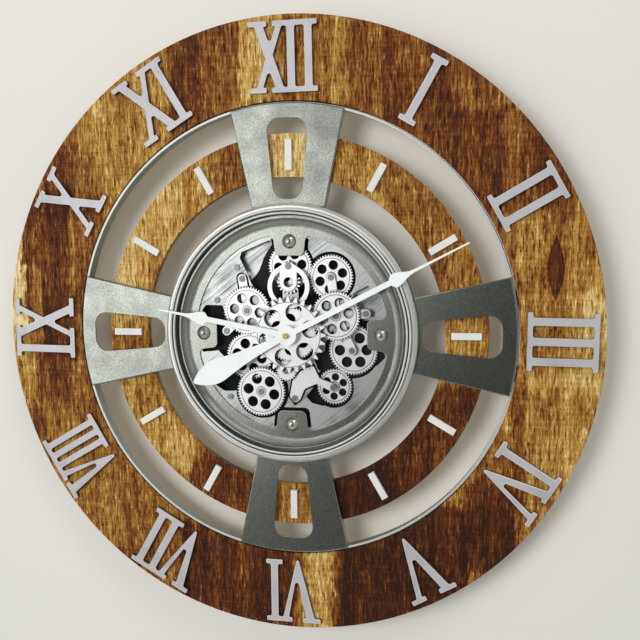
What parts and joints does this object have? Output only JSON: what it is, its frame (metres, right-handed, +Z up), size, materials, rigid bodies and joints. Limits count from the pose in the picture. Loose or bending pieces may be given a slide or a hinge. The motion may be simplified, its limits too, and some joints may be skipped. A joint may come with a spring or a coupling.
{
  "type": "wall clock with an open gear train",
  "caption": "Large round wall clock with wooden rings, raised roman numerals, pewter spokes and a turning train of open metal gears behind white spade hands.",
  "frame": {"origin": "where the axis of the hands meets the wall, on the flat back of the drum", "axes": "+X right and +Z up as the clock is read, +Y into the wall, so the face looks along -Y"},
  "size_m": [0.5999, 0.0627, 0.6],
  "materials": {
    "wood": "sawn and stained",
    "numeral_grey": "satin silver grey",
    "marker_white": "satin",
    "steel": "plain",
    "pewter": "antique silver",
    "bright_metal": "brushed",
    "gear_plating": "bright plated",
    "brass": "plain",
    "hand_white": "white lacquer",
    "black_plastic": "matt",
    "battery_jacket": "plain jacket"
  },
  "bodies": {
    "case": {"outer_ring": "wood", "inner_ring": "wood", "numeral_1": "numeral_grey", "numeral_2": "numeral_grey", "numeral_3": "numeral_grey", "numeral_4": "numeral_grey", "numeral_5": "numeral_grey", "numeral_6": "numeral_grey", "numeral_7": "numeral_grey", "numeral_8": "numeral_grey", "numeral_9": "numeral_grey", "numeral_10": "numeral_grey", "numeral_11": "numeral_grey", "numeral_12": "numeral_grey", "hour_markers": "marker_white", "hoop": "steel", "strap_screws": "steel", "spoke_top": "pewter", "spoke_right": "pewter", "spoke_bottom": "pewter", "spoke_left": "pewter", "drum": "black_plastic", "bezel": "bright_metal", "cover_plate": "pewter", "cover_screws": "pewter", "back_plate": "black_plastic", "mid_plate": "bright_metal", "floor_plates": "bright_metal", "module_pillars": "steel", "module_screws": "steel", "wheel_studs": "steel", "guard_ring": "gear_plating", "left_bridge": "gear_plating", "right_bridge": "gear_plating", "bottom_bridge": "gear_plating", "gear_motor": "steel", "quartz_movement": "black_plastic", "movement_nut": "brass", "rear_cover": "black_plastic", "rear_screws": "steel", "hanger_plate": "steel", "battery_box": "black_plastic", "batteries": "battery_jacket"},
    "centre_wheel": {"centre_wheel": "gear_plating"},
    "right_wheel": {"right_wheel": "gear_plating"},
    "left_wheel": {"left_wheel": "gear_plating"},
    "left_lower_wheel": {"left_lower_wheel": "gear_plating"},
    "idler_pinion": {"idler_pinion": "gear_plating"},
    "bottom_left_wheel": {"bottom_left_wheel": "gear_plating"},
    "upper_right_wheel": {"upper_right_wheel": "gear_plating"},
    "top_wheel": {"top_wheel": "gear_plating"},
    "guard_gear": {"guard_gear": "gear_plating"},
    "lower_right_wheel": {"lower_right_wheel": "gear_plating"},
    "small_wheel": {"small_wheel": "gear_plating"},
    "motor_pinion": {"motor_pinion": "brass"},
    "minute_hand": {"minute_hand": "hand_white", "hand_nut": "brass"},
    "hour_hand": {"hour_hand": "hand_white"},
    "setting_knob": {"setting_knob": "black_plastic"},
    "battery_door": {"battery_door": "black_plastic"}
  },
  "joints": [
    {"name": "centre_spin", "type": "hinge", "parent": "case", "child": "centre_wheel", "pos_m": [0, 0, 0], "axis": [0, 1, 0], "continuous": true},
    {"name": "right_spin", "type": "hinge", "parent": "case", "child": "right_wheel", "pos_m": [0.04596, 0, 0.01838], "axis": [0, 1, 0], "continuous": true},
    {"name": "left_spin", "type": "hinge", "parent": "case", "child": "left_wheel", "pos_m": [-0.04343, 0, 0.0228], "axis": [0, 1, 0], "continuous": true},
    {"name": "left_lower_spin", "type": "hinge", "parent": "case", "child": "left_lower_wheel", "pos_m": [-0.04363, 0, -0.02242], "axis": [0, 1, 0], "continuous": true},
    {"name": "idler_spin", "type": "hinge", "parent": "case", "child": "idler_pinion", "pos_m": [-0.00432, 0, -0.03574], "axis": [0, 1, 0], "continuous": true},
    {"name": "bottom_left_spin", "type": "hinge", "parent": "case", "child": "bottom_left_wheel", "pos_m": [-0.03048, 0, -0.05707], "axis": [0, 1, 0], "continuous": true},
    {"name": "upper_right_spin", "type": "hinge", "parent": "case", "child": "upper_right_wheel", "pos_m": [0.04057, 0, 0.05534], "axis": [0, 1, 0], "continuous": true},
    {"name": "top_spin", "type": "hinge", "parent": "case", "child": "top_wheel", "pos_m": [-0.00031, 0, 0.06622], "axis": [0, 1, 0], "continuous": true},
    {"name": "guard_spin", "type": "hinge", "parent": "case", "child": "guard_gear", "pos_m": [-0.00031, 0, 0.05062], "axis": [0, 1, 0], "continuous": true},
    {"name": "lower_right_spin", "type": "hinge", "parent": "case", "child": "lower_right_wheel", "pos_m": [0.06091, 0, -0.01535], "axis": [0, 1, 0], "continuous": true},
    {"name": "small_spin", "type": "hinge", "parent": "case", "child": "small_wheel", "pos_m": [0.042, 0, -0.05168], "axis": [0, 1, 0], "continuous": true},
    {"name": "motor_spin", "type": "hinge", "parent": "case", "child": "motor_pinion", "pos_m": [-0.01008, 0, 0.08993], "axis": [0, 1, 0], "continuous": true},
    {"name": "minute_spin", "type": "hinge", "parent": "case", "child": "minute_hand", "pos_m": [0, 0, 0], "axis": [0, 1, 0], "continuous": true},
    {"name": "hour_spin", "type": "hinge", "parent": "case", "child": "hour_hand", "pos_m": [0, 0, 0], "axis": [0, 1, 0], "continuous": true},
    {"name": "knob_spin", "type": "hinge", "parent": "case", "child": "setting_knob", "pos_m": [0, 0, 0.017], "axis": [0, 1, 0], "continuous": true},
    {"name": "door_hinge", "type": "hinge", "parent": "case", "child": "battery_door", "pos_m": [0, -0.0036, -0.0146], "axis": [1, 0, 0], "range_deg": [0, 100]}
  ],
  "couplings": [
    {"joint": "right_spin", "follows": "centre_spin", "ratio": -1.1154},
    {"joint": "left_spin", "follows": "centre_spin", "ratio": -1.1373},
    {"joint": "left_lower_spin", "follows": "centre_spin", "ratio": -1.1373},
    {"joint": "idler_spin", "follows": "centre_spin", "ratio": -2.6364},
    {"joint": "bottom_left_spin", "follows": "centre_spin", "ratio": 1.0943},
    {"joint": "upper_right_spin", "follows": "centre_spin", "ratio": 0.85434},
    {"joint": "top_spin", "follows": "centre_spin", "ratio": -0.85434},
    {"joint": "guard_spin", "follows": "centre_spin", "ratio": 0.37971},
    {"joint": "lower_right_spin", "follows": "centre_spin", "ratio": 0.6103},
    {"joint": "small_spin", "follows": "centre_spin", "ratio": -0.85121},
    {"joint": "motor_spin", "follows": "centre_spin", "ratio": 4.0154},
    {"joint": "hour_spin", "follows": "minute_spin", "ratio": 0.083333},
    {"joint": "knob_spin", "follows": "minute_spin", "ratio": -1}
  ]
}
